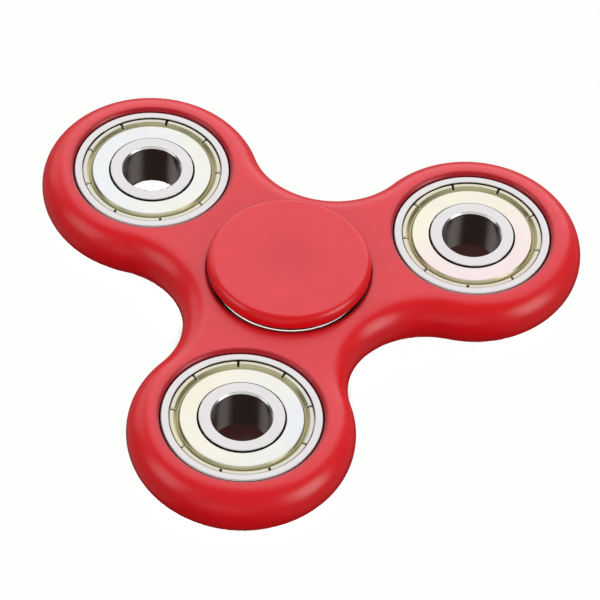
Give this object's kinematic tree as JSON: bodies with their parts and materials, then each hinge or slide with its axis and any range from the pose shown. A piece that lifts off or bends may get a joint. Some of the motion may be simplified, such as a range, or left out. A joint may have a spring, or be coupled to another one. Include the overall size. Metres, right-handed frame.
{
  "type": "fidget spinner",
  "caption": "Three-lobed moulded spinner turning on a shielded ball bearing between two round finger caps, with a matching bearing pressed into each lobe as a weight.",
  "frame": {"origin": "on the spin axis, at the flat outer face of the lower finger cap", "axes": "+Z along the spin axis from the lower cap to the upper cap; -Y towards the front lobe, so the left and right lobes lie towards +Y on the -X and +X sides"},
  "size_m": [0.0772, 0.0711, 0.0126],
  "materials": {
    "red_plastic": "glossy moulded",
    "ring_steel": "ground and polished",
    "shield_steel": "pressed sheet, pale yellow zinc plate",
    "ball_steel": "mirror polished",
    "cage_steel": "pressed sheet, dull"
  },
  "bodies": {
    "hub": {"cap_lower": "red_plastic", "cap_upper": "red_plastic", "centre_inner_ring": "ring_steel"},
    "rotor": {"spinner_body": "red_plastic", "centre_outer_ring": "ring_steel", "centre_shield_upper": "shield_steel", "centre_shield_lower": "shield_steel", "left_outer_ring": "ring_steel", "left_shield_upper": "shield_steel", "left_shield_lower": "shield_steel", "right_outer_ring": "ring_steel", "right_shield_upper": "shield_steel", "right_shield_lower": "shield_steel", "front_outer_ring": "ring_steel", "front_shield_upper": "shield_steel", "front_shield_lower": "shield_steel"},
    "centre_cage": {"centre_cage_upper": "cage_steel", "centre_cage_lower": "cage_steel"},
    "centre_ball_1": {"centre_ball_1": "ball_steel"},
    "centre_ball_2": {"centre_ball_2": "ball_steel"},
    "centre_ball_3": {"centre_ball_3": "ball_steel"},
    "centre_ball_4": {"centre_ball_4": "ball_steel"},
    "centre_ball_5": {"centre_ball_5": "ball_steel"},
    "centre_ball_6": {"centre_ball_6": "ball_steel"},
    "centre_ball_7": {"centre_ball_7": "ball_steel"},
    "left_cage": {"left_cage_upper": "cage_steel", "left_cage_lower": "cage_steel"},
    "left_inner_ring": {"left_inner_ring": "ring_steel"},
    "left_ball_1": {"left_ball_1": "ball_steel"},
    "left_ball_2": {"left_ball_2": "ball_steel"},
    "left_ball_3": {"left_ball_3": "ball_steel"},
    "left_ball_4": {"left_ball_4": "ball_steel"},
    "left_ball_5": {"left_ball_5": "ball_steel"},
    "left_ball_6": {"left_ball_6": "ball_steel"},
    "left_ball_7": {"left_ball_7": "ball_steel"},
    "right_cage": {"right_cage_upper": "cage_steel", "right_cage_lower": "cage_steel"},
    "right_inner_ring": {"right_inner_ring": "ring_steel"},
    "right_ball_1": {"right_ball_1": "ball_steel"},
    "right_ball_2": {"right_ball_2": "ball_steel"},
    "right_ball_3": {"right_ball_3": "ball_steel"},
    "right_ball_4": {"right_ball_4": "ball_steel"},
    "right_ball_5": {"right_ball_5": "ball_steel"},
    "right_ball_6": {"right_ball_6": "ball_steel"},
    "right_ball_7": {"right_ball_7": "ball_steel"},
    "front_cage": {"front_cage_upper": "cage_steel", "front_cage_lower": "cage_steel"},
    "front_inner_ring": {"front_inner_ring": "ring_steel"},
    "front_ball_1": {"front_ball_1": "ball_steel"},
    "front_ball_2": {"front_ball_2": "ball_steel"},
    "front_ball_3": {"front_ball_3": "ball_steel"},
    "front_ball_4": {"front_ball_4": "ball_steel"},
    "front_ball_5": {"front_ball_5": "ball_steel"},
    "front_ball_6": {"front_ball_6": "ball_steel"},
    "front_ball_7": {"front_ball_7": "ball_steel"}
  },
  "joints": [
    {"name": "spinner_spin", "type": "hinge", "parent": "hub", "child": "rotor", "pos_m": [0, 0, 0.0063], "axis": [0, 0, 1], "continuous": true},
    {"name": "centre_cage_spin", "type": "hinge", "parent": "hub", "child": "centre_cage", "pos_m": [0, 0, 0.0063], "axis": [0, 0, 1], "continuous": true},
    {"name": "centre_ball_1_spin", "type": "hinge", "parent": "centre_cage", "child": "centre_ball_1", "pos_m": [0.0075, 0, 0.0063], "axis": [0, 0, 1], "continuous": true},
    {"name": "centre_ball_2_spin", "type": "hinge", "parent": "centre_cage", "child": "centre_ball_2", "pos_m": [0.00468, 0.00586, 0.0063], "axis": [0, 0, 1], "continuous": true},
    {"name": "centre_ball_3_spin", "type": "hinge", "parent": "centre_cage", "child": "centre_ball_3", "pos_m": [-0.00167, 0.00731, 0.0063], "axis": [0, 0, 1], "continuous": true},
    {"name": "centre_ball_4_spin", "type": "hinge", "parent": "centre_cage", "child": "centre_ball_4", "pos_m": [-0.00676, 0.00325, 0.0063], "axis": [0, 0, 1], "continuous": true},
    {"name": "centre_ball_5_spin", "type": "hinge", "parent": "centre_cage", "child": "centre_ball_5", "pos_m": [-0.00676, -0.00325, 0.0063], "axis": [0, 0, 1], "continuous": true},
    {"name": "centre_ball_6_spin", "type": "hinge", "parent": "centre_cage", "child": "centre_ball_6", "pos_m": [-0.00167, -0.00731, 0.0063], "axis": [0, 0, 1], "continuous": true},
    {"name": "centre_ball_7_spin", "type": "hinge", "parent": "centre_cage", "child": "centre_ball_7", "pos_m": [0.00468, -0.00586, 0.0063], "axis": [0, 0, 1], "continuous": true},
    {"name": "left_ring_spin", "type": "hinge", "parent": "rotor", "child": "left_inner_ring", "pos_m": [-0.02317, 0.01337, 0.0063], "axis": [0, 0, 1], "continuous": true},
    {"name": "left_cage_spin", "type": "hinge", "parent": "rotor", "child": "left_cage", "pos_m": [-0.02317, 0.01337, 0.0063], "axis": [0, 0, 1], "continuous": true},
    {"name": "left_ball_1_spin", "type": "hinge", "parent": "left_cage", "child": "left_ball_1", "pos_m": [-0.01567, 0.01337, 0.0063], "axis": [0, 0, 1], "continuous": true},
    {"name": "left_ball_2_spin", "type": "hinge", "parent": "left_cage", "child": "left_ball_2", "pos_m": [-0.01849, 0.01924, 0.0063], "axis": [0, 0, 1], "continuous": true},
    {"name": "left_ball_3_spin", "type": "hinge", "parent": "left_cage", "child": "left_ball_3", "pos_m": [-0.02483, 0.02069, 0.0063], "axis": [0, 0, 1], "continuous": true},
    {"name": "left_ball_4_spin", "type": "hinge", "parent": "left_cage", "child": "left_ball_4", "pos_m": [-0.02992, 0.01663, 0.0063], "axis": [0, 0, 1], "continuous": true},
    {"name": "left_ball_5_spin", "type": "hinge", "parent": "left_cage", "child": "left_ball_5", "pos_m": [-0.02992, 0.01012, 0.0063], "axis": [0, 0, 1], "continuous": true},
    {"name": "left_ball_6_spin", "type": "hinge", "parent": "left_cage", "child": "left_ball_6", "pos_m": [-0.02483, 0.00606, 0.0063], "axis": [0, 0, 1], "continuous": true},
    {"name": "left_ball_7_spin", "type": "hinge", "parent": "left_cage", "child": "left_ball_7", "pos_m": [-0.01849, 0.00751, 0.0063], "axis": [0, 0, 1], "continuous": true},
    {"name": "right_ring_spin", "type": "hinge", "parent": "rotor", "child": "right_inner_ring", "pos_m": [0.02317, 0.01337, 0.0063], "axis": [0, 0, 1], "continuous": true},
    {"name": "right_cage_spin", "type": "hinge", "parent": "rotor", "child": "right_cage", "pos_m": [0.02317, 0.01337, 0.0063], "axis": [0, 0, 1], "continuous": true},
    {"name": "right_ball_1_spin", "type": "hinge", "parent": "right_cage", "child": "right_ball_1", "pos_m": [0.03067, 0.01337, 0.0063], "axis": [0, 0, 1], "continuous": true},
    {"name": "right_ball_2_spin", "type": "hinge", "parent": "right_cage", "child": "right_ball_2", "pos_m": [0.02784, 0.01924, 0.0063], "axis": [0, 0, 1], "continuous": true},
    {"name": "right_ball_3_spin", "type": "hinge", "parent": "right_cage", "child": "right_ball_3", "pos_m": [0.0215, 0.02069, 0.0063], "axis": [0, 0, 1], "continuous": true},
    {"name": "right_ball_4_spin", "type": "hinge", "parent": "right_cage", "child": "right_ball_4", "pos_m": [0.01641, 0.01663, 0.0063], "axis": [0, 0, 1], "continuous": true},
    {"name": "right_ball_5_spin", "type": "hinge", "parent": "right_cage", "child": "right_ball_5", "pos_m": [0.01641, 0.01012, 0.0063], "axis": [0, 0, 1], "continuous": true},
    {"name": "right_ball_6_spin", "type": "hinge", "parent": "right_cage", "child": "right_ball_6", "pos_m": [0.0215, 0.00606, 0.0063], "axis": [0, 0, 1], "continuous": true},
    {"name": "right_ball_7_spin", "type": "hinge", "parent": "right_cage", "child": "right_ball_7", "pos_m": [0.02784, 0.00751, 0.0063], "axis": [0, 0, 1], "continuous": true},
    {"name": "front_ring_spin", "type": "hinge", "parent": "rotor", "child": "front_inner_ring", "pos_m": [0, -0.02675, 0.0063], "axis": [0, 0, 1], "continuous": true},
    {"name": "front_cage_spin", "type": "hinge", "parent": "rotor", "child": "front_cage", "pos_m": [0, -0.02675, 0.0063], "axis": [0, 0, 1], "continuous": true},
    {"name": "front_ball_1_spin", "type": "hinge", "parent": "front_cage", "child": "front_ball_1", "pos_m": [0.0075, -0.02675, 0.0063], "axis": [0, 0, 1], "continuous": true},
    {"name": "front_ball_2_spin", "type": "hinge", "parent": "front_cage", "child": "front_ball_2", "pos_m": [0.00468, -0.02089, 0.0063], "axis": [0, 0, 1], "continuous": true},
    {"name": "front_ball_3_spin", "type": "hinge", "parent": "front_cage", "child": "front_ball_3", "pos_m": [-0.00167, -0.01944, 0.0063], "axis": [0, 0, 1], "continuous": true},
    {"name": "front_ball_4_spin", "type": "hinge", "parent": "front_cage", "child": "front_ball_4", "pos_m": [-0.00676, -0.0235, 0.0063], "axis": [0, 0, 1], "continuous": true},
    {"name": "front_ball_5_spin", "type": "hinge", "parent": "front_cage", "child": "front_ball_5", "pos_m": [-0.00676, -0.03, 0.0063], "axis": [0, 0, 1], "continuous": true},
    {"name": "front_ball_6_spin", "type": "hinge", "parent": "front_cage", "child": "front_ball_6", "pos_m": [-0.00167, -0.03406, 0.0063], "axis": [0, 0, 1], "continuous": true},
    {"name": "front_ball_7_spin", "type": "hinge", "parent": "front_cage", "child": "front_ball_7", "pos_m": [0.00468, -0.03261, 0.0063], "axis": [0, 0, 1], "continuous": true}
  ],
  "couplings": [
    {"joint": "centre_cage_spin", "follows": "spinner_spin", "ratio": 0.6323},
    {"joint": "centre_ball_1_spin", "follows": "spinner_spin", "ratio": 1.7573},
    {"joint": "centre_ball_2_spin", "follows": "spinner_spin", "ratio": 1.7573},
    {"joint": "centre_ball_3_spin", "follows": "spinner_spin", "ratio": 1.7573},
    {"joint": "centre_ball_4_spin", "follows": "spinner_spin", "ratio": 1.7573},
    {"joint": "centre_ball_5_spin", "follows": "spinner_spin", "ratio": 1.7573},
    {"joint": "centre_ball_6_spin", "follows": "spinner_spin", "ratio": 1.7573},
    {"joint": "centre_ball_7_spin", "follows": "spinner_spin", "ratio": 1.7573},
    {"joint": "left_cage_spin", "follows": "left_ring_spin", "ratio": 0.3677},
    {"joint": "left_ball_1_spin", "follows": "left_ring_spin", "ratio": -1.7573},
    {"joint": "left_ball_2_spin", "follows": "left_ring_spin", "ratio": -1.7573},
    {"joint": "left_ball_3_spin", "follows": "left_ring_spin", "ratio": -1.7573},
    {"joint": "left_ball_4_spin", "follows": "left_ring_spin", "ratio": -1.7573},
    {"joint": "left_ball_5_spin", "follows": "left_ring_spin", "ratio": -1.7573},
    {"joint": "left_ball_6_spin", "follows": "left_ring_spin", "ratio": -1.7573},
    {"joint": "left_ball_7_spin", "follows": "left_ring_spin", "ratio": -1.7573},
    {"joint": "right_cage_spin", "follows": "right_ring_spin", "ratio": 0.3677},
    {"joint": "right_ball_1_spin", "follows": "right_ring_spin", "ratio": -1.7573},
    {"joint": "right_ball_2_spin", "follows": "right_ring_spin", "ratio": -1.7573},
    {"joint": "right_ball_3_spin", "follows": "right_ring_spin", "ratio": -1.7573},
    {"joint": "right_ball_4_spin", "follows": "right_ring_spin", "ratio": -1.7573},
    {"joint": "right_ball_5_spin", "follows": "right_ring_spin", "ratio": -1.7573},
    {"joint": "right_ball_6_spin", "follows": "right_ring_spin", "ratio": -1.7573},
    {"joint": "right_ball_7_spin", "follows": "right_ring_spin", "ratio": -1.7573},
    {"joint": "front_cage_spin", "follows": "front_ring_spin", "ratio": 0.3677},
    {"joint": "front_ball_1_spin", "follows": "front_ring_spin", "ratio": -1.7573},
    {"joint": "front_ball_2_spin", "follows": "front_ring_spin", "ratio": -1.7573},
    {"joint": "front_ball_3_spin", "follows": "front_ring_spin", "ratio": -1.7573},
    {"joint": "front_ball_4_spin", "follows": "front_ring_spin", "ratio": -1.7573},
    {"joint": "front_ball_5_spin", "follows": "front_ring_spin", "ratio": -1.7573},
    {"joint": "front_ball_6_spin", "follows": "front_ring_spin", "ratio": -1.7573},
    {"joint": "front_ball_7_spin", "follows": "front_ring_spin", "ratio": -1.7573}
  ]
}
